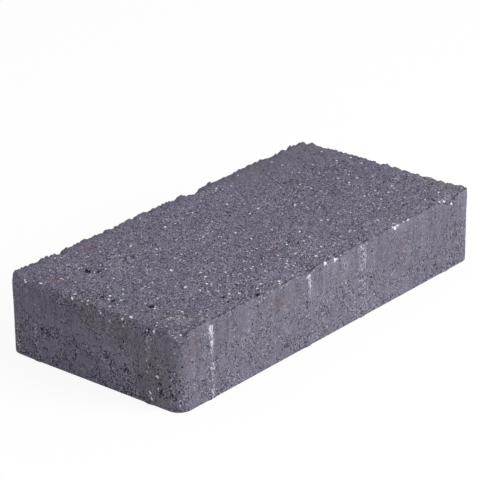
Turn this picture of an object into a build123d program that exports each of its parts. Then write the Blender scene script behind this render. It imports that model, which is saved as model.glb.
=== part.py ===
"""Concrete paving stone: one pressed block with low spacer ribs on its sides. Millimetres, +Z up.

The origin is the middle of the bed, the flat face that the stone is laid on. Its length is along X.
"""

import os

from build123d import *

# The block, measured between its flat faces
length = 230.0
width = 110.0
thickness = 40.0
corner_radius = 7.0  # the four upright corners
arris_radius = 2.0  # the worn edge all round the wearing face

# Spacer ribs, low upright beads that keep a joint open between laid stones
rib_width = 5.5  # across the bead, where it leaves the side
rib_height = 0.5  # how far the bead stands out of the side
rib_run_out = 1.5  # length over which a rib fades into the side, below the arris
rib_end_distance = 22.0  # from an end of the stone to the middle of a long side's outer rib
rib_middle_spacing = 43.0  # between the two ribs about the middle of a long side
rib_side_distance = 19.5  # from a long side to the middle of a short side's rib

# A rib is the part of an upright round bar that shows outside the side
rib_bar_radius = (rib_width**2 / 4 + rib_height**2) / (2 * rib_height)
rib_bar_inset = rib_bar_radius - rib_height

# The bar ends in a cone that passes under the side's surface halfway up, and stops at the arris
rib_cone_radius = rib_bar_radius - 2 * rib_height
rib_cone_height = 2 * rib_run_out
rib_bar_height = thickness - arris_radius - rib_cone_height

# Where the bars stand, as seen from above
bar_x = length / 2 - rib_bar_inset
bar_y = width / 2 - rib_bar_inset
long_side_rib_x = [length / 2 - rib_end_distance, rib_middle_spacing / 2]
short_side_rib_y = width / 2 - rib_side_distance
bar_quarter = [(x, bar_y) for x in long_side_rib_x] + [(bar_x, short_side_rib_y)]
bar_places = [(sx * x, sy * y) for x, y in bar_quarter for sx in (-1, 1) for sy in (-1, 1)]

standing = (Align.CENTER, Align.CENTER, Align.MIN)

with BuildPart() as paving_stone:
    # The block with rounded corners, as it leaves the mould
    with BuildSketch():
        RectangleRounded(length, width, corner_radius)
    extrude(amount=thickness)

    # The arris round the wearing face
    fillet(paving_stone.edges().group_by(Axis.Z)[-1], radius=arris_radius)

    # The spacer ribs
    with Locations(*bar_places):
        Cylinder(rib_bar_radius, rib_bar_height, align=standing)
    with Locations(*[(x, y, rib_bar_height) for x, y in bar_places]):
        Cone(rib_bar_radius, rib_cone_radius, rib_cone_height, align=standing)

paving_stone.part.label = "paving_stone"

os.makedirs("parts", exist_ok=True)
export_step(paving_stone.part, "parts/paving_stone.step")
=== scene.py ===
import math

import bpy
import numpy as np
from mathutils import Matrix, Vector, noise


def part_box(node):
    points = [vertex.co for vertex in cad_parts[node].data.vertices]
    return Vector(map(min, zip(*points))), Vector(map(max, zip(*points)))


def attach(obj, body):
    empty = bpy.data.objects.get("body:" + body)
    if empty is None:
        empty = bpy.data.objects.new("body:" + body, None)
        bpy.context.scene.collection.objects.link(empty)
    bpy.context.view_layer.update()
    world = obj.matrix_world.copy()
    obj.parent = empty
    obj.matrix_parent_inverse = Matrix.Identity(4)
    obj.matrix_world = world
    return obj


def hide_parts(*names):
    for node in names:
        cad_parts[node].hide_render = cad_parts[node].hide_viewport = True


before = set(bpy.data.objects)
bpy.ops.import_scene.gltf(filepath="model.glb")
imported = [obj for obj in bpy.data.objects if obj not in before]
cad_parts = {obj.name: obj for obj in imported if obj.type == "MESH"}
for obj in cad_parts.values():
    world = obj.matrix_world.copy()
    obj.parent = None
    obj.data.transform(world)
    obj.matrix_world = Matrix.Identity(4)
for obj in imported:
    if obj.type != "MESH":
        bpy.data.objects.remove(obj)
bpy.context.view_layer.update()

# The stone is worked out in millimetres, and its mesh is written in metres
MM = 0.001

# The block, as its solid has it
_, stone_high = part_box("paving_stone")
RIB_HEIGHT = 0.5
HALF_LENGTH = stone_high.x / MM - RIB_HEIGHT
HALF_WIDTH = stone_high.y / MM - RIB_HEIGHT
THICKNESS = stone_high.z / MM
CORNER_RADIUS = 7.0

# A place this near to a side's flat face lies on it
FLAT_WITHIN = 0.01

# The spacer ribs, upright beads on the sides
RIB_WIDTH = 5.5
RIB_TOP = 36.5
RIB_RUN_OUT = 1.5
LONG_SIDE_RIBS = (-93.0, -21.5, 21.5, 93.0)
SHORT_SIDE_RIBS = (-35.5, 35.5)

# How finely the stone is meshed
LENGTH_STEPS = 288
WIDTH_STEPS = 128
BORDER_STEPS = 11
BORDER_GRADING = 1.4
WALL_STEPS = 48
WALL_GRADING = 1.35
BED_STEP = 5
SHARP_ANGLE = 70.0
# Level of each row of the sides, as a share of the level of the arris above it
WALL_SHARES = 1 - np.linspace(0, 1, WALL_STEPS + 1)[1:] ** WALL_GRADING
# Keeps a division by a length of 0 from failing
TINY = 1e-9

# The wearing face, a crust of grit pressed into the mould
FACE_SINK = 0.4
GRIT_SIZE = 1.9
GRIT_HEIGHT = 0.62
FINE_GRIT_SIZE = 0.95
FINE_GRIT_HEIGHT = 0.42
CLUMP_SIZE = 5.0
CLUMP_HEIGHT = 0.23
SWELL_SIZE = 18.0
SWELL_HEIGHT = 0.2
PIT_SPACING = 9.0
PIT_DEPTH = 1.2
PIT_RAGGED_SIZE = 1.5
# Scattered pits: radius and its spread, as shares of their spacing, and depth against the deepest pits
SCATTERED_PIT_RADIUS = 0.11
SCATTERED_PIT_SPREAD = 0.07
LEAST_PIT_RADIUS = 0.02
SCATTERED_PIT_DEPTH = 0.7

# Worn radius of the arris on the near, right, far and left sides
ARRIS_RADII = (1.6, 2.9, 1.0, 2.6)
WEAR_SIZE = 6.0
# Share of each side's arris that has a raised lip
LIP_SHARES = (0.95, 0.1, 0.4, 0.1)
LIP_WIDTH = 0.5
LIP_BREAK_SIZE = 9.0
# The fin that makes the lip, and the rounding of its outer edge
FIN_HEIGHT = 0.35
FIN_WIDTH = 0.7
FIN_LOSS = 0.3
FIN_LOSS_WIDTH = 0.22
# How ragged each side's arris is, in broad and fine bumps that fade out between two insets
RAGGED_SHARES = (1.0, 3.2, 2.4, 1.3)
RAGGED_HEIGHT = 0.4
RAGGED_SIZE = 5.0
FINE_RAGGED_SIZE = 2.2
RAGGED_FADE = (0.6, 5.5)
# How much painted shade darkens and browns each side's arris
RIM_SHADE_SHARES = (0.0, 1.3, 1.0, 0.0)
RIM_SHADE_REACH = 3.5
# The broken groove behind the lip
GROOVE_INSET = 1.5
GROOVE_WIDTH = 0.8
GROOVE_DEPTH = 0.45
GROOVE_BREAK_SIZE = 7.0
# How the arris crumbles sideways, in crumbs and in larger bites that fade out between two insets
CRUMB_WIDTH = 1.6
CRUMB_DEPTH = 0.2
BITE_WIDTH = 4.5
BITE_DEPTH = 0.27
CRUMBLE_LOSS = 0.15
CRUMBLE_FADE = (0.2, 3.0)
CRUMBLE_DROP = 2.5
# How far the grit of the wearing face reaches down each side, and further down at the front corner
CRUST_DEPTHS = (0.3, 2.0, 1.5, 3.2)
CRUST_RAGGED_SIZE = 3.0
CRUSTED_CORNER = (-112.5, -53.0)
CRUSTED_REACH = 4.0
CRUSTED_DEPTH = 4.0
# How strongly the grains of each side differ in tone
SPECKLE_SHARES = (0.78, 0.83, 0.78, 0.83)
# How thickly pores crowd on each side
PORE_SHARES = (1.0, 1.5, 1.0, 1.5)
# How thickly white grains lie on each side
QUARTZ_SHARES = (0.0, 2.0, 0.0, 2.0)
# How much brown dust lies on each side
DUST_SHARES = (0.12, 0.05, 0.12, 0.02)

# The moulded sides
DRAG_SIZE = 1.4
DRAG_LENGTH = 26.0
DRAG_DEPTH = 0.06
DRAG_BEGINS = 18.0
DRAG_FULL = 30.0
PORE_SIZE = 1.5
PORE_OPENING = (0.5, 0.8)
PORE_DEPTH = 0.35
PORE_SHADE = 0.65
LOWEST_PORES = 0.8
SIDE_GRIT_SIZE = 1.5
SIDE_GRIT_HEIGHT = 0.1
SIDE_WAVE_SIZE = 22.0
SIDE_WAVE_HEIGHT = 0.12
# A slight swelling below the arris
SIDE_SWELL = 0.12
SIDE_SWELL_LEVEL = 34.0
SIDE_SWELL_REACH = 6.0
# Above this level paste is smeared over the pores, which are fully open this far below it
PORES_END = 31.0
PORES_FADE = 12.0
PORES_CLOSED = 0.52
PORES_RAGGED_SIZE = 12.0
PORES_RAGGED_HEIGHT = 7.0
# The foot, where the relief of the sides fades and their grains stand out more
FOOT_FADE = 2.5
FOOT_HEIGHT = 5.0
FOOT_GRAIN = 0.3
# Shallow hollows in the bed
BED_HOLLOW_SIZE = 7.0
BED_HOLLOW_DEPTH = 0.5
BED_SPECKLE = 0.8
# The left upright corner, worn back a little
WORN_CORNER = (-113.0, 53.0)
WORN_REACH = 7.0
WORN_DEPTH = 0.4

# Insets between which chips fade out, and the size of their ragged outline
CHIP_FADE = (0.5, 5.0)
CHIP_RAGGED_SIZE = 3.0
# Broken places along the arris: middle, half length along the edge, depth
ARRIS_CHIPS = (
    ((95.0, -55.0), 8.0, 2.8),
    ((21.5, -55.0), 5.0, 0.7),
    ((1.0, -55.0), 3.5, 1.3),
    ((-19.5, -55.0), 4.0, 1.9),
    ((-25.0, -55.0), 7.0, 1.2),
    ((-37.0, -55.0), 7.0, 1.0),
    ((-113.0, -53.0), 7.0, 2.0),
    ((-115.0, -36.0), 9.0, 0.9),
    ((-115.0, 12.0), 8.0, 0.8),
    ((-79.0, 55.0), 2.5, 1.0),
    ((-40.0, 55.0), 4.0, 0.8),
    ((21.0, 55.0), 7.0, 2.0),
    ((115.0, -28.0), 26.0, 1.2),
)

# Open pits that show in the wearing face: place across the face, radius
FACE_PITS = (
    ((-87.5, 27.2), 1.8),
    ((-85.7, 28.8), 1.8),
    ((-84.0, 23.0), 1.4),
    ((-98.0, -23.0), 2.2),
    ((-103.8, 2.7), 1.5),
    ((-107.0, 3.5), 1.2),
    ((-104.3, -4.8), 1.5),
    ((-22.0, -27.0), 1.6),
    ((-69.0, -42.0), 1.5),
    ((-57.0, -52.5), 1.8),
    ((83.0, -51.3), 1.4),
    ((88.0, -49.5), 1.2),
)

# Where pores cluster on the two seen sides: place on the stone, radius, strength
PORE_CLUSTERS = (
    ((-115.0, -22.0, 13.0), 1.3, 1.2),
    ((-115.0, -46.5, 6.5), 1.5, 1.3),
    ((-115.0, -43.0, 7.5), 1.5, 1.0),
    ((-115.0, -42.0, 12.5), 1.4, 1.2),
    ((-115.0, -37.5, 12.0), 1.4, 1.0),
    ((-115.0, 31.5, 18.0), 1.5, 1.3),
    ((-115.0, 28.5, 17.0), 1.5, 1.0),
    ((-115.0, -6.0, 19.0), 1.3, 1.2),
    ((-115.0, 42.0, 9.5), 1.5, 1.0),
    ((-115.0, -32.0, 33.5), 1.5, 1.2),
    ((-115.0, -20.5, 28.0), 1.5, 1.2),
    ((-115.0, 8.5, 8.0), 1.5, 1.0),
    ((-115.0, 7.0, 3.0), 5.0, 0.5),
    ((-115.0, -35.0, 10.0), 5.0, 0.4),
    ((-115.0, -6.0, 22.0), 5.0, 0.5),
    ((-97.4, -55.0, 3.0), 1.5, 1.3),
    ((-99.0, -55.0, 10.5), 1.5, 1.2),
    ((-89.5, -55.0, 19.5), 1.3, 1.0),
    ((-85.5, -55.0, 6.0), 1.3, 1.4),
    ((-78.5, -55.0, 5.5), 1.4, 1.0),
    ((-65.0, -55.0, 10.5), 1.3, 1.2),
    ((-38.5, -55.0, 7.0), 1.6, 1.0),
    ((-13.5, -55.0, 5.5), 1.4, 1.2),
    ((-9.0, -55.0, 4.0), 1.5, 1.4),
    ((29.0, -55.0, 18.5), 1.3, 1.2),
    ((31.5, -55.0, 7.5), 1.6, 1.0),
    ((68.5, -55.0, 9.0), 1.4, 1.3),
    ((75.0, -55.0, 5.5), 1.5, 1.2),
    ((89.5, -55.0, 25.0), 1.3, 1.3),
    ((92.0, -55.0, 10.5), 1.5, 1.4),
    ((102.0, -55.0, 17.0), 1.5, 1.2),
)

# Rust stains: place on the stone, radius, strength
RUST_STAINS = (
    ((-102.0, 32.0, 40.0), 3.6, 0.9),
    ((-67.0, 45.0, 40.0), 4.0, 0.8),
    ((-13.0, -27.5, 40.0), 4.0, 0.45),
    ((-104.5, -55.0, 33.0), 3.5, 0.3),
    ((-108.0, -55.0, 27.0), 3.5, 0.35),
    ((-58.0, -55.0, 34.0), 2.6, 0.45),
    ((-58.0, -55.0, 21.5), 2.4, 0.3),
    ((-43.0, -55.0, 32.0), 5.0, 0.32),
    ((54.0, -55.0, 28.0), 1.9, 1.0),
    ((-114.1, 39.8, 39.3), 1.8, 0.45),
)
# Brown stains, and painted shade on the upper front corner: place on the stone, radius, strength
BROWN_STAINS_AND_CORNER_SHADE = (
    ((-115.0, -20.0, 33.0), 11.0, 0.6),
    ((-115.0, -38.0, 20.0), 14.0, 0.6),
    ((-115.0, 2.0, 33.0), 8.0, 0.5),
    ((-115.0, 52.0, 14.0), 9.0, 0.6),
    # Painted shade on the upper front corner
    ((-112.0, -53.0, 38.0), 5.0, 0.6),
    ((-43.0, -55.0, 32.0), 6.0, 0.45),
    ((-106.0, -55.0, 31.0), 8.0, 0.3),
    ((-100.0, -45.0, 40.0), 9.0, 0.7),
    ((4.0, -55.0, 24.0), 5.0, 0.4),
    ((108.0, 50.0, 40.0), 15.0, 0.6),
    ((110.0, -42.0, 40.0), 13.0, 0.6),
    ((65.0, 54.0, 40.0), 14.0, 0.55),
    ((88.0, 54.0, 40.0), 12.0, 0.5),
    ((52.0, -52.0, 40.0), 4.0, 0.7),
)
# A pale bloom of lime on the wearing face: place on the stone, radius, strength
LIME_BLOOM = (
    ((-100.5, -40.5, 40.0), 4.0, 0.65),
    ((-103.0, -45.0, 40.0), 6.0, 0.4),
    ((-97.0, -46.5, 40.0), 4.0, 0.45),
    ((-94.0, -51.0, 40.0), 4.0, 0.5),
)
# Lumps and specks of lime along the arris and on the short side: place on the stone, radius, strength
WHITE_LUMPS = (
    ((48.1, -54.8, 38.9), 1.2, 1.1),
    ((46.2, -54.7, 39.7), 0.8, 1.1),
    ((50.3, -54.8, 39.5), 0.9, 1.1),
    ((56.0, -54.6, 40.0), 0.9, 1.3),
    ((58.8, -54.6, 40.0), 0.9, 1.3),
    ((-8.5, -54.8, 39.3), 1.1, 1.0),
    ((0.0, -54.8, 38.6), 1.3, 1.0),
    ((89.3, -52.8, 39.0), 0.9, 1.1),
    ((93.1, -52.7, 38.0), 0.7, 1.0),
    ((96.3, -55.0, 36.3), 0.8, 1.3),
    ((98.2, -54.1, 37.0), 0.6, 1.0),
    ((98.0, -45.7, 39.6), 0.9, 0.8),
    ((-112.8, -47.3, 39.5), 0.6, 0.65),
    ((-113.0, -48.5, 38.8), 0.6, 0.7),
    ((-113.1, -49.8, 38.0), 0.6, 0.65),
    ((-113.2, -50.9, 37.3), 0.6, 0.8),
    ((-113.5, -52.2, 36.8), 0.6, 0.8),
    ((-115.0, -41.0, 15.5), 0.7, 1.4),
    ((-115.0, -41.0, 9.4), 0.6, 1.4),
    ((-115.4, -36.7, 6.1), 0.8, 1.4),
    ((-115.3, -37.4, 3.0), 0.6, 1.4),
)
# How strongly the largest white grains show
GRAIN_STRENGTH = 1.6
# The largest white grains of the wearing face and its left arris: place across the face, radius
WHITE_GRAINS = (
    ((-113.8, 42.4), 0.5),
    ((-111.4, 34.7), 0.7),
    ((-113.1, 12.9), 0.5),
    ((-109.7, 14.1), 0.5),
    ((-112.2, 3.7), 0.6),
    ((-110.0, -8.2), 0.6),
    ((-112.0, -19.4), 0.6),
    ((-112.8, -23.8), 0.8),
    ((-98.9, -25.8), 0.6),
    ((-86.2, 23.8), 0.5),
    ((-61.5, -3.4), 0.8),
    ((-72.2, -21.5), 0.6),
    ((-61.6, -45.6), 0.7),
    ((-35.9, -31.7), 0.5),
    ((-7.0, 2.4), 0.6),
    ((-4.3, -46.4), 0.7),
)
# Where the concrete set paler: place on the stone, radius, strength
PALE_PATCHES = (
    ((-68.0, 16.0, 40.0), 14.0, 0.6),
    ((2.0, -48.0, 40.0), 13.0, 0.8),
    ((49.0, -50.0, 40.0), 9.0, 0.9),
    ((-32.0, -43.0, 40.0), 7.0, 0.9),
    ((105.0, -48.0, 40.0), 8.0, 0.6),
    ((-14.0, -55.0, 24.0), 8.0, 0.8),
    ((21.0, -55.0, 24.0), 7.0, 0.9),
    ((20.0, -55.0, 7.0), 9.0, 0.8),
    ((-115.0, -15.0, 15.0), 9.0, 0.7),
    ((-115.0, -22.0, 30.0), 6.0, 0.5),
)
# Where the concrete set darker, and one broad painted shade across the right of the wearing face: place on
# the stone, radius, strength
DIM_PATCHES_AND_SHADE = (
    ((-111.0, 10.0, 39.0), 12.0, 0.9),
    ((-112.0, 29.0, 39.0), 12.0, 0.75),
    ((-107.0, -40.0, 40.0), 9.0, 0.6),
    ((-24.0, 36.0, 40.0), 7.0, 0.6),
    # Painted shade across the right of the wearing face
    ((83.0, 13.0, 40.0), 30.0, 0.5),
    ((72.0, 50.0, 40.0), 14.0, 0.6),
    ((-37.0, -55.0, 3.0), 8.0, 0.6),
    ((-43.0, -55.0, 32.0), 6.0, 0.6),
    ((-83.0, -55.0, 29.0), 8.0, 0.4),
    ((-105.0, -55.0, 30.0), 7.0, 0.6),
    ((54.0, -55.0, 20.0), 10.0, 0.6),
    ((103.0, -55.0, 12.0), 9.0, 0.5),
    ((-115.0, -36.0, 28.0), 7.0, 0.6),
    ((-115.0, -36.0, 10.0), 8.0, 0.8),
)
# Where the grains stand out more: place on the stone, radius, strength
COARSE_PATCHES = (
    ((-106.0, 5.0, 40.0), 9.0, 0.4),
    ((-62.0, -51.0, 40.0), 9.0, 0.6),
    ((107.0, -42.0, 40.0), 9.0, 0.5),
    ((-10.0, -47.0, 40.0), 9.0, 0.4),
    ((1.0, -25.0, 40.0), 9.0, 0.4),
    ((106.0, -21.0, 40.0), 9.0, 0.4),
    ((-64.0, 22.0, 40.0), 9.0, 0.4),
    ((-115.0, 7.0, 2.0), 7.0, 0.5),
    ((-115.0, -31.0, 2.0), 7.0, 0.3),
    ((-115.0, -45.0, 2.0), 7.0, 0.3),
    ((-115.0, -7.0, 22.0), 7.0, 0.6),
    ((-115.0, -24.0, 32.0), 6.0, 0.5),
    ((-115.0, 5.0, 30.0), 6.0, 0.5),
    ((94.0, -55.0, 3.0), 7.0, 0.3),
    ((-41.0, -55.0, 35.0), 5.0, 0.5),
    ((-108.0, -55.0, 36.0), 5.0, 0.4),
    ((6.0, -55.0, 26.0), 7.0, 0.4),
)
# Where paste is smeared over the grains: place on the stone, radius, strength
SMEARED_PATCHES = (
    ((-115.0, 32.0, 33.0), 8.0, 0.7),
    ((-115.0, 47.0, 30.0), 8.0, 0.55),
    ((-115.0, -46.5, 29.5), 7.0, 0.6),
    ((-114.5, -50.0, 34.5), 4.0, 0.55),
    ((75.0, -55.0, 20.0), 6.0, 0.35),
    ((-58.0, -55.0, 3.0), 6.0, 0.35),
    ((17.0, -55.0, 34.0), 5.0, 0.35),
    ((-115.0, 16.0, 15.0), 7.0, 0.35),
    ((105.0, -55.0, 36.0), 6.0, 0.35),
    ((-42.0, -55.0, 21.0), 7.0, 0.4),
    ((-69.0, -45.0, 40.0), 8.0, 0.3),
    ((-33.0, -49.0, 40.0), 8.0, 0.3),
    ((52.0, 50.0, 40.0), 14.0, 0.7),
    ((75.0, 50.0, 40.0), 14.0, 0.7),
    ((97.0, 48.0, 40.0), 14.0, 0.7),
    ((-50.0, 51.0, 40.0), 9.0, 0.45),
    ((7.0, 51.0, 40.0), 9.0, 0.4),
    ((107.0, 31.0, 40.0), 9.0, 0.4),
    ((107.0, -6.0, 40.0), 9.0, 0.4),
)
# Where white grains lie thickest: place on the stone, radius, strength
QUARTZ_PATCHES = (
    ((-50.0, -42.0, 40.0), 38.0, 1.0),
    ((10.0, -50.0, 40.0), 30.0, 0.7),
    ((-95.0, 15.0, 40.0), 28.0, 0.4),
    ((-100.0, -45.0, 40.0), 12.0, 1.0),
)

# Lime rubbed onto the ribs: plan place, highest and lowest level, width, strength
RIB_SCUFFS = (
    ((-93.4, -55.0), 37.2, 25.0, 4.8, 0.9),
    ((-93.2, -55.0), 31.0, 19.0, 2.6, 0.8),
    ((-92.5, -55.0), 19.0, 3.0, 3.6, 0.55),
    ((-92.4, -55.0), 7.0, -5.0, 3.4, 0.6),
    ((-21.0, -55.0), 36.8, 22.0, 3.4, 0.85),
    ((21.3, -55.0), 38.5, 22.0, 7.5, 0.5),
    ((21.7, -55.0), 21.0, 0.0, 8.0, 0.18),
    ((-115.0, -36.4), 35.6, 16.0, 4.0, 0.42),
    ((-115.0, -37.2), 9.0, -2.0, 4.0, 0.2),
)


def rough(places, size, seed=0):
    """Smooth noise from about -1 to 1 at each place, with bumps about the given size across."""
    start = Vector((17.3, -9.1, 5.7)) * seed
    return np.array([noise.noise(Vector(place) / size + start) for place in places])


def grains(places, size, seed=0):
    """Distance from each place to the nearest grain's middle, in grain sizes."""
    start = Vector((-6.1, 12.9, 3.3)) * seed
    return np.array([noise.voronoi(Vector(place) / size + start)[0][0] for place in places])


def smooth_step(values, start, end):
    """0 before start and 1 after end, with a smooth rise between them."""
    share = np.clip((values - start) / (end - start), 0, 1)
    return share * share * (3 - 2 * share)


def hump(values):
    """A bell of height 1 about 0."""
    return np.exp(-values * values)


def spots(places, listed):
    """How strongly each place is marked by the listed spots: most in a spot's middle, 0 far from all."""
    total = np.zeros(len(places))
    for middle, radius, strength in listed:
        distance = np.linalg.norm(places - np.array(middle), axis=1)
        total = np.maximum(total, strength * hump(distance / radius))
    return total


def white_grains(plan_places):
    """How strongly each place of the wearing face is marked by its largest white grains."""
    total = np.zeros(len(plan_places))
    for middle, radius in WHITE_GRAINS:
        distance = np.linalg.norm(plan_places - np.array(middle), axis=1)
        total = np.maximum(total, GRAIN_STRENGTH * hump(distance / radius))
    return total


def on_level(plan_places, level):
    """Plan places lifted to a level, as points in space."""
    levels = np.broadcast_to(level, len(plan_places))
    return np.column_stack([plan_places, levels])


def plan_lines(half, steps):
    """Grid lines across the stone, closer together near both edges."""
    border = CORNER_RADIUS * np.linspace(0, 1, BORDER_STEPS + 1) ** BORDER_GRADING
    middle = np.linspace(CORNER_RADIUS - half, half - CORNER_RADIUS, steps + 1)
    return np.concatenate([border[:-1] - half, middle, half - border[-2::-1]])


class Plan:
    """The stone seen from above: a grid whose corners are bent round the stone's upright corners."""

    def __init__(self):
        lines_x = plan_lines(HALF_LENGTH, LENGTH_STEPS)
        lines_y = plan_lines(HALF_WIDTH, WIDTH_STEPS)
        self.last_i = len(lines_x) - 1
        self.last_j = len(lines_y) - 1
        straight = np.stack(np.meshgrid(lines_x, lines_y, indexing="ij"), axis=-1).reshape(-1, 2)
        core_half = np.array([HALF_LENGTH, HALF_WIDTH]) - CORNER_RADIUS
        core = np.clip(straight, -core_half, core_half)
        share = np.abs(straight - core) / CORNER_RADIUS
        reach = share.max(axis=1)
        turn = math.pi / 4 * share.min(axis=1) / np.maximum(reach, TINY)
        along, across = reach * np.cos(turn), reach * np.sin(turn)
        mostly_x = share[:, 0] >= share[:, 1]
        bent = np.where(mostly_x, [along, across], [across, along]).T * np.sign(straight - core)
        self.places = core + CORNER_RADIUS * bent
        self.outward = bent / np.maximum(reach, TINY)[:, None]
        self.inset = CORNER_RADIUS * (1 - reach)
        self.edges = core + CORNER_RADIUS * self.outward

    def index(self, i, j):
        return i * (self.last_j + 1) + j

    def rim(self):
        """The grid's rim as (i, j) pairs, anticlockwise from the near left corner, a list for each side."""
        near = [(i, 0) for i in range(self.last_i)]
        right = [(self.last_i, j) for j in range(self.last_j)]
        far = [(i, self.last_j) for i in range(self.last_i, 0, -1)]
        left = [(0, j) for j in range(self.last_j, 0, -1)]
        return [near, right, far, left]


def by_side(outward, values):
    """A value for each side, near, right, far and left, that changes smoothly round the corners."""
    facing = np.stack([-outward[:, 1], outward[:, 0], outward[:, 1], -outward[:, 0]])
    return (np.clip(facing, 0, None) ** 2 * np.array(values)[:, None]).sum(axis=0)


def lip_share(edges, outward):
    """Where the mould left a thin raised lip on the arris, from 0 to 1."""
    broken = 1 + 0.5 * rough(on_level(edges, 0), LIP_BREAK_SIZE, seed=3)
    return np.clip(by_side(outward, LIP_SHARES) * broken, 0, 1)


def chip_depth(edges):
    """How deep the arris is broken away at each place along it."""
    depth = np.zeros(len(edges))
    ragged = 1 + 0.35 * rough(on_level(edges, 0), CHIP_RAGGED_SIZE, seed=4)
    for middle, half, deepest in ARRIS_CHIPS:
        distance = np.linalg.norm(edges - np.array(middle), axis=1)
        depth = np.maximum(depth, deepest * (1 - smooth_step(distance, 0.2 * half, half)))
    return depth * ragged


def groove_depth(edges, inset):
    """Depth of the broken groove behind the lip."""
    broken = rough(on_level(edges, 0), GROOVE_BREAK_SIZE, seed=8)
    deep = np.clip(GROOVE_DEPTH * (1 + 2 * broken), 0, None)
    return deep * hump((inset - GROOVE_INSET) / GROOVE_WIDTH)


def arris_profile(plan):
    """Height of the arris against the wearing face."""
    flat_edges = on_level(plan.edges, 0)
    lip = lip_share(plan.edges, plan.outward)
    wear = by_side(plan.outward, ARRIS_RADII) * (1 + 0.3 * rough(flat_edges, WEAR_SIZE, seed=5))
    short = np.clip(wear - plan.inset, 0, None)
    rounded = np.sqrt(np.maximum(wear * wear - short * short, 0)) - wear
    ragged = rough(flat_edges, RAGGED_SIZE, seed=6) + rough(flat_edges, FINE_RAGGED_SIZE, seed=7)
    ragged *= by_side(plan.outward, RAGGED_SHARES) * (1 - smooth_step(plan.inset, *RAGGED_FADE))
    ragged *= RAGGED_HEIGHT
    fin = FIN_HEIGHT * hump(plan.inset / FIN_WIDTH) - FIN_LOSS * hump(plan.inset / FIN_LOSS_WIDTH)
    chips = chip_depth(plan.edges) * (1 - smooth_step(plan.inset, *CHIP_FADE))
    return lip * (fin - groove_depth(plan.edges, plan.inset)) + (1 - lip) * rounded + ragged - chips


def face_pits(plan_places):
    """Open pits in the wearing face, from 0 to 1 at their deepest."""
    flat = on_level(plan_places, 0)
    size = SCATTERED_PIT_RADIUS + SCATTERED_PIT_SPREAD * rough(flat, PIT_SPACING, seed=10)
    distance = grains(flat, PIT_SPACING, seed=9)
    outside = smooth_step(distance, 0.3 * size, np.maximum(size, LEAST_PIT_RADIUS))
    scattered = SCATTERED_PIT_DEPTH * (1 - outside)
    ragged = 1 + 0.4 * rough(flat, PIT_RAGGED_SIZE, seed=11)
    listed = np.zeros(len(plan_places))
    for middle, radius in FACE_PITS:
        distance = np.linalg.norm(plan_places - np.array(middle), axis=1)
        listed = np.maximum(listed, 1 - smooth_step(distance * ragged, 0.45 * radius, radius))
    return np.maximum(scattered, listed)


def wearing_face_level(plan, pits):
    """Level of every place on the wearing face and its arris."""
    flat = on_level(plan.places, 0)
    grit = GRIT_HEIGHT * (0.55 - grains(flat, GRIT_SIZE))
    fine = FINE_GRIT_HEIGHT * (1 - 2 * grains(flat, FINE_GRIT_SIZE, seed=1))
    clump = CLUMP_HEIGHT * rough(flat, CLUMP_SIZE, seed=21)
    swell = SWELL_HEIGHT * rough(flat, SWELL_SIZE, seed=2)
    level = THICKNESS - FACE_SINK + grit + fine + clump + swell - PIT_DEPTH * pits
    return level + arris_profile(plan)


def rib_relief(edges, level):
    """How far the spacer ribs stand out of the sides."""
    fade = 1 - smooth_step(level, RIB_TOP - RIB_RUN_OUT, RIB_TOP)
    relief = np.zeros(len(edges))
    on_long = np.abs(edges[:, 1]) > HALF_WIDTH - FLAT_WITHIN
    on_short = np.abs(edges[:, 0]) > HALF_LENGTH - FLAT_WITHIN
    for on_side, axis, middles in ((on_long, 0, LONG_SIDE_RIBS), (on_short, 1, SHORT_SIDE_RIBS)):
        for middle in middles:
            across = np.clip(np.abs(edges[:, axis] - middle) / (RIB_WIDTH / 2), 0, 1)
            relief = np.maximum(relief, on_side * RIB_HEIGHT * (1 - across**2))
    return relief * fade


def porous_share(places):
    """How open the pores of the sides are: 1 low down, and about half of that in the smeared upper band."""
    ragged = places[:, 2] + PORES_RAGGED_HEIGHT * rough(places, PORES_RAGGED_SIZE, seed=12)
    return 1 - PORES_CLOSED * smooth_step(ragged, PORES_END - PORES_FADE, PORES_END)


def side_pores(places):
    """Open pores in the sides, from 0 to 1 at their deepest."""
    holes = rough(places, PORE_SIZE, seed=13) + 0.5 * rough(places, PORE_SIZE / 2, seed=14)
    return porous_share(places) * smooth_step(holes, *PORE_OPENING)


def side_relief(edges, level, pores):
    """How far the sides stand out of their flat faces, apart from the corners' own rounding."""
    places = on_level(edges, level)
    dragged = places / np.array([DRAG_SIZE, DRAG_SIZE, DRAG_LENGTH])
    upper = smooth_step(level, DRAG_BEGINS, DRAG_FULL)
    drag = DRAG_DEPTH * upper * rough(dragged, 1.0, seed=15)
    grit = SIDE_GRIT_HEIGHT * (1.3 - upper) * rough(places, SIDE_GRIT_SIZE, seed=16)
    wave = SIDE_WAVE_HEIGHT * rough(places, SIDE_WAVE_SIZE, seed=17)
    swell = SIDE_SWELL * hump((level - SIDE_SWELL_LEVEL) / SIDE_SWELL_REACH)
    foot = smooth_step(level, 0, FOOT_FADE)
    worn = WORN_DEPTH * hump(np.linalg.norm(edges - np.array(WORN_CORNER), axis=1) / WORN_REACH)
    return rib_relief(edges, level) + foot * (drag + grit + wave + swell) - worn - PORE_DEPTH * pores


def rib_scuffs(points):
    """Lime rubbed onto the ribs, from 0 to 1."""
    total = np.zeros(len(points))
    level = points[:, 2]
    for (x, y), top, bottom, width, strength in RIB_SCUFFS:
        across = np.hypot(points[:, 0] - x, points[:, 1] - y)
        rise = smooth_step(level, bottom, top)
        ends = smooth_step(level, bottom - 1, bottom + 5) * (1 - smooth_step(level, top, top + 1))
        half = 0.5 * width * (0.55 + 0.45 * rise)
        band = 1 - smooth_step(across, 0.4 * half, 1.3 * half)
        total = np.maximum(total, strength * (0.45 + 0.55 * rise) * ends * band)
    return total


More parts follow.
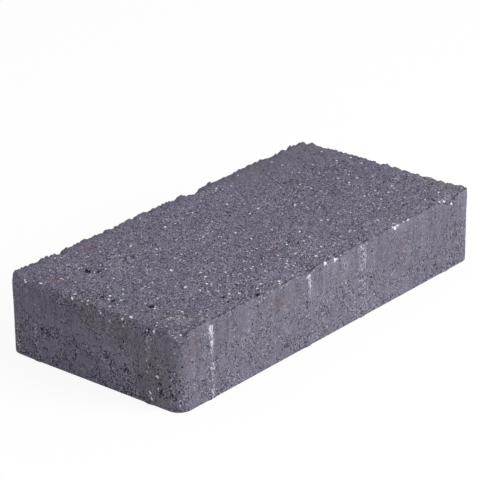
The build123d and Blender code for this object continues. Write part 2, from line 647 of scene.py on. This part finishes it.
def crumbled_edge(plan):
    """How far the arris stands out or is crumbled back, sideways."""
    flat_edges = on_level(plan.edges, 0)
    crumbs = CRUMB_DEPTH * rough(flat_edges, CRUMB_WIDTH, seed=18)
    bites = BITE_DEPTH * rough(flat_edges, BITE_WIDTH, seed=19)
    return (crumbs + bites - CRUMBLE_LOSS) * (1 - smooth_step(plan.inset, *CRUMBLE_FADE))


def build_face(plan, pits, crumble):
    """Points of the wearing face and its arris."""
    levels = wearing_face_level(plan, pits)
    points = on_level(plan.places, levels)
    flush = side_relief(plan.edges, levels, np.zeros(len(levels)))
    spread = (1 - smooth_step(plan.inset, 0, CORNER_RADIUS)) * flush + crumble
    points[:, :2] += plan.outward * spread[:, None]
    return points


def build_walls(edges, outward, rim_levels, rim_crumble):
    """The sides in rows, from just under the arris down to the bed: points, and what the finish reads."""
    crust_depth = by_side(outward, CRUST_DEPTHS)
    from_corner = np.linalg.norm(edges - np.array(CRUSTED_CORNER), axis=1)
    crust_depth += CRUSTED_DEPTH * hump(from_corner / CRUSTED_REACH)
    crust_depth *= 1 + 0.6 * rough(on_level(edges, 0), CRUST_RAGGED_SIZE, seed=22)
    side_speckle = by_side(outward, SPECKLE_SHARES)
    pore_share = by_side(outward, PORE_SHARES)
    rows = []
    for share in WALL_SHARES:
        level = rim_levels * share
        places = on_level(edges, level)
        pores = side_pores(places) * smooth_step(level, 0, LOWEST_PORES)
        relief = side_relief(edges, level, pores)
        relief += rim_crumble * smooth_step(level, rim_levels - CRUMBLE_DROP, rim_levels)
        porous = porous_share(places) * pore_share
        crust = 1 - smooth_step(rim_levels - level, 0.4 * crust_depth, crust_depth)
        grainy = 0.95 + 0.05 * np.minimum(porous, 1) + FOOT_GRAIN * hump(level / FOOT_HEIGHT)
        rows.append({
            "points": np.column_stack([edges + outward * relief[:, None], level]),
            "hollow": PORE_SHADE * pores * pore_share,
            "porous": porous,
            "crust": crust,
            "speckle": np.maximum(crust, side_speckle * grainy),
        })
    return {name: np.concatenate([row[name] for row in rows]) for name in rows[0]}


def build_bed(plan, rim, start):
    """The bed: inner points, numbered from start, and triangles that join them to the sides' lowest row."""
    inner_i = range(BED_STEP, plan.last_i, BED_STEP)
    inner_j = range(BED_STEP, plan.last_j, BED_STEP)
    inner = [(i, j) for i in inner_i for j in inner_j]
    places = plan.places[[plan.index(i, j) for i, j in inner]]
    hollow = np.clip(rough(on_level(places, 0), BED_HOLLOW_SIZE, seed=20), 0, None)
    vertex = {pair: start - len(rim) + k for k, pair in enumerate(rim + inner)}
    return on_level(places, BED_HOLLOW_DEPTH * hollow), bed_triangles(plan, vertex)


def bed_triangles(plan, vertex):
    """Triangles of a coarse grid whose outer cells take in every vertex along the rim."""
    triangles = []
    for i in range(0, plan.last_i, BED_STEP):
        for j in range(0, plan.last_j, BED_STEP):
            corners = [(i, j), (i, j + BED_STEP), (i + BED_STEP, j + BED_STEP), (i + BED_STEP, j)]
            ring = []
            for (ai, aj), (bi, bj) in zip(corners, corners[1:] + corners[:1]):
                di, dj = (bi - ai) // BED_STEP, (bj - aj) // BED_STEP
                pairs = [(ai + di * k, aj + dj * k) for k in range(BED_STEP)]
                ring += [vertex[pair] for pair in pairs if pair in vertex]
            # Each cell is a fan about its last inner vertex, so no triangle lies flat along the rim
            hub = ring.index(max(ring))
            others = ring[hub + 1 :] + ring[:hub]
            triangles += [[ring[hub], one, other] for one, other in zip(others, others[1:])]
    return triangles


# The flat sheet that the stone's colours are laid out on, in millimetres: lower left corner of each part
SHEET_NAME = "OFBake"
SHEET_SIZE = 294.0
SHEET_FACE = (2.0, 2.0)
SHEET_SIDES = ((2.0, 114.0), (2.0, 198.0), (2.0, 156.0), (113.0, 198.0))
SHEET_BED = (2.0, 239.0)
BED_SCALE = 0.45


def face_sheet(plan_places):
    """Sheet places of the wearing face."""
    return plan_places + np.array([HALF_LENGTH, HALF_WIDTH]) + np.array(SHEET_FACE)


def wall_sheet(side_counts, edges):
    """Sheet places of the sides: a strip for each side, with its wearing face edge uppermost."""
    steps = np.linalg.norm(np.roll(edges, -1, axis=0) - edges, axis=1)
    starts, feet = [], []
    for (left, foot), count in zip(SHEET_SIDES, side_counts):
        first = len(starts)
        along = steps[first : first + count]
        starts += (left + np.cumsum(along) - along).tolist()
        feet += [foot] * count
    starts, feet = np.array(starts), np.array(feet)
    ends = starts + steps
    strips = []
    for upper, lower in zip(np.concatenate([[1], WALL_SHARES]), WALL_SHARES):
        high, low = feet + THICKNESS * upper, feet + THICKNESS * lower
        corners = [[starts, high], [starts, low], [ends, low], [ends, high]]
        strips.append(np.array(corners).transpose(2, 0, 1).reshape(-1, 2))
    return np.concatenate(strips)


def bed_sheet(bed_places):
    """Sheet places of the bed, at a smaller scale than the rest and seen from below."""
    across = (bed_places * np.array([-1, 1]) + np.array([HALF_LENGTH, HALF_WIDTH])) * BED_SCALE
    return across + np.array(SHEET_BED)


def finish_marks(plan, points, pits, wall, outward):
    """What the finish reads at each vertex, by name."""
    face_count, wall_count = len(pits), len(wall["points"])
    counts = face_count, wall_count, len(points) - face_count - wall_count

    def whole(*parts):
        """A value for each vertex, from those of the wearing face, the sides and the bed."""
        return np.concatenate([np.broadcast_to(part, count) for part, count in zip(parts, counts)])

    def on_walls(shares):
        """A value for each vertex of the sides, by side, and 0 elsewhere."""
        return whole(0, np.tile(by_side(outward, shares), WALL_STEPS), 0)

    lip = lip_share(plan.edges, plan.outward)
    # The lip's crest, painted pale: partly paste, partly a painted highlight
    lip_crest = lip * hump(plan.inset / LIP_WIDTH)
    # Painted shade along the right and far arrises: darker, browner and less speckled there
    rim_shade = by_side(plan.outward, RIM_SHADE_SHARES) * hump(plan.inset / RIM_SHADE_REACH)
    shaded_rim = whole(rim_shade, 0, 0)
    smeared = spots(points, SMEARED_PATCHES)
    speckle = whole(1 - 0.5 * rim_shade, wall["speckle"], BED_SPECKLE)
    quartz = np.maximum(spots(points, QUARTZ_PATCHES), on_walls(QUARTZ_SHARES))
    return {
        "crust": whole(1 - 0.8 * lip_crest - 0.4 * rim_shade, wall["crust"], 0),
        "porous": whole(0, wall["porous"], 1),
        "speckle": speckle * (1 + spots(points, COARSE_PATCHES) - smeared),
        # How deep pits and pores are, which the finish paints as shade
        "hollow": whole(pits, wall["hollow"], 0),
        # How deep the groove behind the lip is, where the finish paints shade
        "groove": whole(lip * groove_depth(plan.edges, plan.inset), 0, 0),
        "lip": whole(lip_crest, 0, 0),
        "pale": spots(points, PALE_PATCHES) - spots(points, DIM_PATCHES_AND_SHADE) - shaded_rim,
        "cluster": spots(points, PORE_CLUSTERS),
        "rust": spots(points, RUST_STAINS),
        "brown": np.maximum(spots(points, BROWN_STAINS_AND_CORNER_SHADE), on_walls(DUST_SHARES) + 0.4 * shaded_rim),
        "bloom": spots(points, LIME_BLOOM),
        "lump": np.maximum(spots(points, WHITE_LUMPS), whole(white_grains(plan.places), 0, 0)),
        "quartz": quartz - 1.5 * smeared,
        "scuff": rib_scuffs(points),
    }


def build_stone():
    """The stone as one closed mesh, with what its finish needs to know about each place."""
    plan = Plan()
    sides = plan.rim()
    rim = [pair for side in sides for pair in side]
    rim_grid = np.array([plan.index(i, j) for i, j in rim])
    edges, outward = plan.edges[rim_grid], plan.outward[rim_grid]

    pits = face_pits(plan.places)
    crumble = crumbled_edge(plan)
    face_points = build_face(plan, pits, crumble)
    wall = build_walls(edges, outward, face_points[rim_grid, 2], crumble[rim_grid])
    face_count = len(face_points)
    bed_points, bed = build_bed(plan, rim, face_count + len(wall["points"]))
    points = np.concatenate([face_points, wall["points"], bed_points])

    corner = np.array([plan.index(i, j) for i in range(plan.last_i) for j in range(plan.last_j)])
    row = plan.last_j + 1
    face_quads = np.column_stack([corner, corner + row, corner + row + 1, corner + 1])
    wall_rings = face_count + np.arange(WALL_STEPS * len(rim)).reshape(WALL_STEPS, -1)
    rings = np.vstack([rim_grid, wall_rings])
    ahead = np.roll(rings, -1, axis=1)
    wall_quads = np.stack([rings[:-1], rings[1:], ahead[1:], ahead[:-1]], axis=-1).reshape(-1, 4)
    polygons = face_quads.tolist() + wall_quads.tolist() + bed

    mesh = bpy.data.meshes.new("paving_stone_dressed")
    mesh.from_pydata((points * MM).tolist(), [], polygons, shade_flat=False)
    mesh.set_sharp_from_angle(angle=math.radians(SHARP_ANGLE))

    # Each polygon's place on the flat sheet
    sheet = np.concatenate([
        face_sheet(plan.places[face_quads.ravel()]),
        wall_sheet([len(side) for side in sides], edges),
        bed_sheet(points[np.ravel(bed), :2]),
    ])
    mesh.uv_layers.new(name=SHEET_NAME).uv.foreach_set("vector", (sheet / SHEET_SIZE).ravel())

    for name, values in finish_marks(plan, points, pits, wall, outward).items():
        attribute = mesh.attributes.new(name, "FLOAT", "POINT")
        attribute.data.foreach_set("value", values.astype(np.float32))

    stone = bpy.data.objects.new("paving_stone_dressed", mesh)
    bpy.context.scene.collection.objects.link(stone)
    return stone


class Wire:
    """An output of a finish's nodes. Sums, products and differences of wires and numbers add Math nodes."""

    def __init__(self, finish, socket):
        self.finish = finish
        self.socket = socket

    def math(self, operation, *values):
        return self.finish.node("ShaderNodeMath", {"operation": operation}, dict(enumerate(values)))

    def __add__(self, other):
        return self.math("ADD", self, other)

    def __radd__(self, other):
        return self.math("ADD", other, self)

    def __sub__(self, other):
        return self.math("SUBTRACT", self, other)

    def __rsub__(self, other):
        return self.math("SUBTRACT", other, self)

    def __mul__(self, other):
        return self.math("MULTIPLY", self, other)

    def __rmul__(self, other):
        return self.math("MULTIPLY", other, self)

    def most(self, other):
        return self.math("MAXIMUM", self, other)

    def size(self):
        """How far this is from 0."""
        return self.math("ABSOLUTE", self)

    def above(self, start, end):
        """0 where this is under start and 1 where it is over end, with a smooth rise between."""
        limits = {"Value": self, "From Min": start, "From Max": end}
        return self.finish.node("ShaderNodeMapRange", {"interpolation_type": "SMOOTHSTEP"}, limits)


class Finish:
    """The nodes of a material or of the world."""

    def __init__(self, owner):
        owner.use_nodes = True
        self.tree = owner.node_tree
        self.tree.nodes.clear()

    def node(self, kind, settings=None, sockets=None, output=0):
        """Adds a node with these settings, fills its sockets, and gives one of its outputs, if any."""
        made = self.tree.nodes.new(kind)
        for name, value in (settings or {}).items():
            setattr(made, name, value)
        for name, value in (sockets or {}).items():
            socket = made.inputs[name]
            if isinstance(value, Wire):
                self.tree.links.new(value.socket, socket)
            else:
                socket.default_value = (*value, 1) if socket.type == "RGBA" else value
        return Wire(self, made.outputs[output]) if made.outputs else None

    def mark(self, name):
        """A mark that the mesh holds at each vertex."""
        return self.node("ShaderNodeAttribute", {"attribute_name": name}, output="Fac")

    def places(self, upright=1.0):
        """Places on the object, with the upright axis scaled: under 1 draws out what is made from them."""
        place = self.node("ShaderNodeTexCoord", output="Object")
        return self.node("ShaderNodeVectorMath", {"operation": "MULTIPLY"}, {0: place, 1: (1, 1, upright)})

    def cloud(self, place, size, detail=2.0, roughness=0.5):
        """Soft noise about 0.5, with patches about this many millimetres across."""
        sockets = {"Vector": place, "Scale": 1 / (size * MM), "Detail": detail, "Roughness": roughness}
        return self.node("ShaderNodeTexNoise", {}, sockets)

    def cells(self, place, size):
        """Grains about this many millimetres across: distance from a grain's middle, and its own number."""
        sockets = {"Vector": place, "Scale": 1 / (size * MM)}
        distance = self.node("ShaderNodeTexVoronoi", {}, sockets, "Distance")
        colour = Wire(self, distance.socket.node.outputs["Color"])
        number = self.node("ShaderNodeSeparateColor", {}, {"Color": colour})
        return distance, number

    def mix(self, share, first, second):
        """A colour between two colours."""
        return self.node("ShaderNodeMix", {"data_type": "RGBA"}, {0: share, 6: first, 7: second}, 2)

    def tinted(self, colour, tint):
        """A colour seen through a tint."""
        return self.node("ShaderNodeVectorMath", {"operation": "MULTIPLY"}, {0: colour, 1: tint})

    def times(self, colour, factor):
        """A colour made lighter or darker."""
        return self.node("ShaderNodeVectorMath", {"operation": "SCALE"}, {0: colour, "Scale": factor})

    def show(self, shader, kind="ShaderNodeOutputMaterial"):
        """Makes this shader the surface, or the world's."""
        self.node(kind, {}, {"Surface": shader})


# Colours of the concrete, its grains and its stains, and of the shade and highlight painted on it
COOL_CHARCOAL = (0.176, 0.168, 0.232)
WARM_CHARCOAL = (0.193, 0.170, 0.220)
DARK_GRAIN_TINT = (1.07, 1.0, 1.3)
PALE_GRAIN_TINT = (0.965, 1.0, 0.89)
PORE_SHADE_AND_DARK_GRAIN = (0.012, 0.011, 0.019)
PALE_PASTE_AND_HIGHLIGHT = (0.32, 0.3, 0.36)
LIME_WHITE = (0.84, 0.84, 0.92)
RUST_BROWN = (0.19, 0.105, 0.125)
STAIN_AND_SHADE_BROWN = (0.16, 0.145, 0.14)
# Sizes of its patches and grains, in millimetres
PATCH_SIZE = 9.0
HUE_SIZE = 4.0
SAND_SIZE = 0.45
CRUMB_SIZE = 1.2
CALM_SIZE = 8.0
STREAK_SIZE = 2.5
SMEAR_SIZE = 8.0
STAIN_SIZE = 1.6
STONE_SIZE = 1.3
PEBBLE_SIZE = 2.6
CROWD_SIZE = 5.0
SEAM_SIZE = 6.0
PINHOLE_SIZE = 1.0
FLAKE_SIZE = 1.8
# How much the upright axis is squeezed for grains and marks that are drawn out along it
SAND_STRETCH = 0.8
STREAK_STRETCH = 0.06
SMEAR_STRETCH = 0.08
FLAKE_STRETCH = 0.6
# How strongly its grains and marks show
GRIT_CONTRAST = 2.05
CRUMB_CONTRAST = 0.6
DARKEST_SHADE = 0.12
CALM_STRENGTH = 0.7
TONGUE_STRENGTH = 1.9
SIDES_WARMER = 0.22
PAINTED_LIGHT_BELOW = 0.12
CLUSTER_STRENGTH = 2.6
DARK_GRAIN_SHARE = 0.085
DARK_PEBBLE_SHARE = 0.06
PORE_SHADE_AND_GRAIN_DARKNESS = 0.95
GROOVE_PAINTED_SHADE = 0.6
FLAKE_STRENGTH = 1.2
LIME_STRENGTH = 0.8
BLOOM_STRENGTH = 0.42
LIP_PASTE_AND_HIGHLIGHT = 0.4
# Its roughness, how much smoother white grains are, its highlights, and its fine relief in millimetres
DULLNESS = 0.9
SPARKLE_POLISH = 0.2
SPECULAR_LEVEL = 0.3
BUMP_STRENGTH = 0.6
BUMP_HEIGHT = 0.4


def charcoal_concrete():
    """Dark violet grey concrete: speckled grit on the wearing face, smeared porous paste on the sides."""
    material = bpy.data.materials.new("charcoal_concrete")
    finish = Finish(material)
    place = finish.places()
    crust = finish.mark("crust")
    porous = finish.mark("porous")

    # The paste, in soft clouds of tone and hue
    patch = finish.cloud(place, PATCH_SIZE, detail=3.0)
    hue = (finish.cloud(place, HUE_SIZE, detail=3.0).above(0.2, 0.8) - 0.5) * (0.4 + 0.6 * crust)
    colour = finish.mix(0.5 + hue, COOL_CHARCOAL, WARM_CHARCOAL)
    # The pale mark also carries painted shade on the right and far arrises and across the right of the
    # wearing face
    colour = finish.times(colour, 0.815 + 0.4 * patch + 0.2 * finish.mark("pale"))

    # Sand grains of many tones, the darker the bluer, and crumbs of paste
    upright = finish.places(upright=SAND_STRETCH)
    grain, tone = finish.cells(upright, SAND_SIZE)
    crumbs = finish.cloud(upright, CRUMB_SIZE, detail=3.0, roughness=0.7)
    grit = (tone * (0.4 + 0.6 * tone) - 0.4) * GRIT_CONTRAST + (crumbs - 0.5) * CRUMB_CONTRAST
    streak = finish.cloud(finish.places(upright=STREAK_STRETCH), STREAK_SIZE, detail=3.0, roughness=0.7)
    tongue = streak.above(0.48, 0.58) * (1 - porous) * TONGUE_STRENGTH
    calm = finish.cloud(place, CALM_SIZE).above(0.45, 0.65).most(tongue) * (1 - crust)
    shade = (1 + grit * finish.mark("speckle") * (1 - CALM_STRENGTH * calm)).most(DARKEST_SHADE)
    warmth = (shade + SIDES_WARMER * (1 - crust)).above(0.2, 1.8)
    tint = finish.mix(warmth, DARK_GRAIN_TINT, PALE_GRAIN_TINT)
    colour = finish.times(finish.tinted(colour, tint), shade)

    # Upright drag marks on the sides, strongest in their smeared upper band, and painted light that makes
    # the sides paler low down and darker high up
    smear = finish.cloud(finish.places(upright=SMEAR_STRETCH), SMEAR_SIZE)
    drag = (streak - 0.5) * (1.2 - 0.6 * porous) + (smear - 0.5) * (0.95 - 0.6 * porous)
    # Painted light: the sides paler low down and darker high up
    painted_light_below = PAINTED_LIGHT_BELOW * (porous - 0.75)
    colour = finish.times(colour, 1 + (drag + painted_light_below) * (1 - crust))

    # Stains, with painted shade browning the upper front corner and the right and far arrises
    stain_break = finish.cloud(place, STAIN_SIZE).above(0.35, 0.65)
    colour = finish.mix(finish.mark("brown") * (0.4 + 0.6 * stain_break), colour, STAIN_AND_SHADE_BROWN)
    colour = finish.mix(finish.mark("rust") * (0.3 + 0.7 * stain_break), colour, RUST_BROWN)

    # Painted shade in open pores, pits and pinholes, the concrete's own dark grains, and painted shade in
    # the groove behind the lip
    stone_grain, stone_tone = finish.cells(place, STONE_SIZE)
    core = 1 - stone_grain.above(0.3, 0.42)
    pebble, pebble_tone = finish.cells(place, PEBBLE_SIZE)
    pebble_core = 1 - pebble.above(0.22, 0.3)
    crowd = finish.cloud(place, CROWD_SIZE).above(0.38, 0.62) + CLUSTER_STRENGTH * finish.mark("cluster")
    seam = 1 - (finish.cloud(place, SEAM_SIZE, detail=3.0) - 0.5).size().above(0.005, 0.04)
    open_share = porous * (1 - CALM_STRENGTH * calm)
    dark_share = DARK_GRAIN_SHARE * crust + open_share * (0.05 + 0.15 * crowd)
    dark_grain = (dark_share - stone_tone).above(0.0, 0.05) * core
    pebble_share = DARK_PEBBLE_SHARE * crust.most(0.6 * open_share)
    dark_pebble = (pebble_share - pebble_tone).above(0.0, 0.01) * pebble_core
    hollow = finish.mark("hollow").above(0.1, 0.55)
    pinhole = finish.cloud(place, PINHOLE_SIZE, roughness=0.6)
    fine_hollow = (pinhole + open_share * (0.04 + 0.04 * crowd + 0.045 * seam)).above(0.67, 0.71)
    # Painted shade in the groove behind the lip, broken up by the grain tone
    groove = (finish.mark("groove") * (0.3 + 1.4 * tone)).above(0.2, 0.9)
    dark = hollow.most(fine_hollow).most(dark_grain).most(dark_pebble)
    # Pits, pores and pinholes are painted near black as shade in their hollows; dark grains are near black
    # of their own
    colour = finish.mix(dark * PORE_SHADE_AND_GRAIN_DARKNESS, colour, PORE_SHADE_AND_DARK_GRAIN)
    colour = finish.times(colour, 1 - GROOVE_PAINTED_SHADE * groove)

    # White quartz grains, lime, and the lip's crest, painted pale partly as paste and partly as a painted
    # highlight
    quartz = finish.mark("quartz")
    quartz_share = (0.12 + 0.2 * porous + 0.12 * quartz).most(crust)
    sparkle = (stone_tone + 0.05 * quartz).above(0.952, 0.992) * core * quartz_share
    white_pebble = (pebble_tone + 0.02 * quartz).above(0.95, 0.97) * pebble_core
    sparkle = sparkle.most(white_pebble * crust)
    crumb = (crumbs - 0.5) * 1.6 + (tone - 0.5) * 0.9
    scuff = finish.mark("scuff")
    flake = (finish.cloud(finish.places(upright=FLAKE_STRETCH), FLAKE_SIZE) - 0.5) * FLAKE_STRENGTH
    lime = (scuff + crumb + flake).above(0.3, 1.15) * scuff.above(0.02, 0.2) * LIME_STRENGTH
    bloom = (finish.mark("bloom") + crumb).above(0.45, 1.0) * BLOOM_STRENGTH
    lump = (finish.mark("lump") + crumb * 0.6).above(0.35, 0.6)
    lip = finish.mark("lip") * crumb.above(-0.2, 0.2) * LIP_PASTE_AND_HIGHLIGHT
    colour = finish.mix(lip, colour, PALE_PASTE_AND_HIGHLIGHT)
    white = sparkle.most(lime).most(bloom).most(lump)
    colour = finish.mix(white, colour, LIME_WHITE)

    # Fine roughness
    relief = crumbs * (0.4 + 0.6 * crust) + (1 - grain) * crust * 0.4 - fine_hollow * 0.5
    bump = {"Strength": BUMP_STRENGTH, "Distance": BUMP_HEIGHT * MM, "Height": relief}
    normal = finish.node("ShaderNodeBump", {}, bump)
    sockets = {
        "Base Color": colour,
        "Roughness": DULLNESS - SPARKLE_POLISH * sparkle,
        "Normal": normal,
        "Specular IOR Level": SPECULAR_LEVEL,
    }
    finish.show(finish.node("ShaderNodeBsdfPrincipled", {}, sockets))
    return material


# The studio floor, in metres
FLOOR_SIZE = 12.0
# Just under the bed, so that the two don't share a plane
FLOOR_GAP = 0.0001
FLOOR_WHITE = (0.8, 0.8, 0.8)
FLOOR_GLOW = 1.06
FLOOR_GLOW_SHARE = 0.85


def seen_ray(finish):
    """1 for a ray that shows the background itself: from the camera, in a reflection or through glass."""
    kinds = ("Is Camera Ray", "Is Glossy Ray", "Is Transmission Ray")
    direct, glossy, clear = (finish.node("ShaderNodeLightPath", output=kind) for kind in kinds)
    return direct.most(glossy).most(clear)


def white_floor():
    """A white studio floor, which keeps a pale shadow."""
    material = bpy.data.materials.new("studio_floor")
    finish = Finish(material)
    matt = finish.node("ShaderNodeBsdfDiffuse", {}, {"Color": FLOOR_WHITE})
    glow = finish.node("ShaderNodeEmission", {}, {"Color": (1, 1, 1), "Strength": FLOOR_GLOW})
    share = seen_ray(finish) * FLOOR_GLOW_SHARE
    finish.show(finish.node("ShaderNodeMixShader", {}, {0: share, 1: matt, 2: glow}))

    half = FLOOR_SIZE / 2
    level = -FLOOR_GAP
    corners = [(-half, -half, level), (half, -half, level), (half, half, level), (-half, half, level)]
    mesh = bpy.data.meshes.new("studio_floor")
    mesh.from_pydata(corners, [], [(0, 1, 2, 3)])
    mesh.materials.append(material)
    floor = bpy.data.objects.new("studio_floor", mesh)
    bpy.context.scene.collection.objects.link(floor)


# Light from all round, against 1 for the white backdrop
SKY_STRENGTH = 0.497


def studio_sky():
    """Even light from all round, with a white backdrop behind."""
    world = bpy.data.worlds.new("studio_sky")
    bpy.context.scene.world = world
    sky = Finish(world)
    seen = seen_ray(sky)
    strength = seen + (1 - seen) * SKY_STRENGTH
    light = sky.node("ShaderNodeBackground", {}, {"Color": (1, 1, 1), "Strength": strength})
    sky.show(light, "ShaderNodeOutputWorld")


# The lamp: direction from the stone, distance and size in metres, and power
KEY_DIRECTION = (0.30, -0.80, 0.53)
KEY_DISTANCE = 1.6
KEY_SIZE = 0.9
KEY_WATTS = 16.8


def key_light():
    """One large soft lamp, off to the right of the camera."""
    lamp = bpy.data.lights.new("key_light", "AREA")
    lamp.shape = "DISK"
    lamp.size = KEY_SIZE
    lamp.energy = KEY_WATTS
    place = Vector(KEY_DIRECTION).normalized() * KEY_DISTANCE
    holder = bpy.data.objects.new("key_light", lamp)
    holder.location = place
    holder.rotation_euler = place.to_track_quat("Z", "Y").to_euler()
    bpy.context.scene.collection.objects.link(holder)


# The camera: aim and distance in millimetres, angles in degrees, lens in millimetres, clipping in metres
CAMERA_AIM = (1.17, 6.38, 31.64)
CAMERA_DISTANCE = 1201.0
CAMERA_AZIMUTH = -50.0
CAMERA_ELEVATION = 23.27
CAMERA_ROLL = -0.56
CAMERA_LENS = 180.46
CAMERA_NEAREST = 0.05
CAMERA_FURTHEST = 50.0


def camera():
    """The camera, where the photograph was taken from."""
    lens = bpy.data.cameras.new("camera")
    lens.lens = CAMERA_LENS
    lens.clip_start = CAMERA_NEAREST
    lens.clip_end = CAMERA_FURTHEST
    azimuth, elevation = math.radians(CAMERA_AZIMUTH), math.radians(CAMERA_ELEVATION)
    across = math.cos(elevation)
    away = Vector((math.sin(azimuth) * across, -math.cos(azimuth) * across, math.sin(elevation)))
    turn = (-away).to_track_quat("-Z", "Y").to_matrix().to_4x4()
    roll = Matrix.Rotation(math.radians(CAMERA_ROLL), 4, "Z")
    place = (Vector(CAMERA_AIM) + away * CAMERA_DISTANCE) * MM
    holder = bpy.data.objects.new("camera", lens)
    holder.matrix_world = Matrix.Translation(place) @ turn @ roll
    bpy.context.scene.collection.objects.link(holder)
    bpy.context.scene.camera = holder


stone = build_stone()
stone.data.materials.append(charcoal_concrete())
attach(stone, "root")
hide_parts("paving_stone")

white_floor()
studio_sky()
key_light()
camera()
bpy.context.scene.view_settings.view_transform = "Standard"
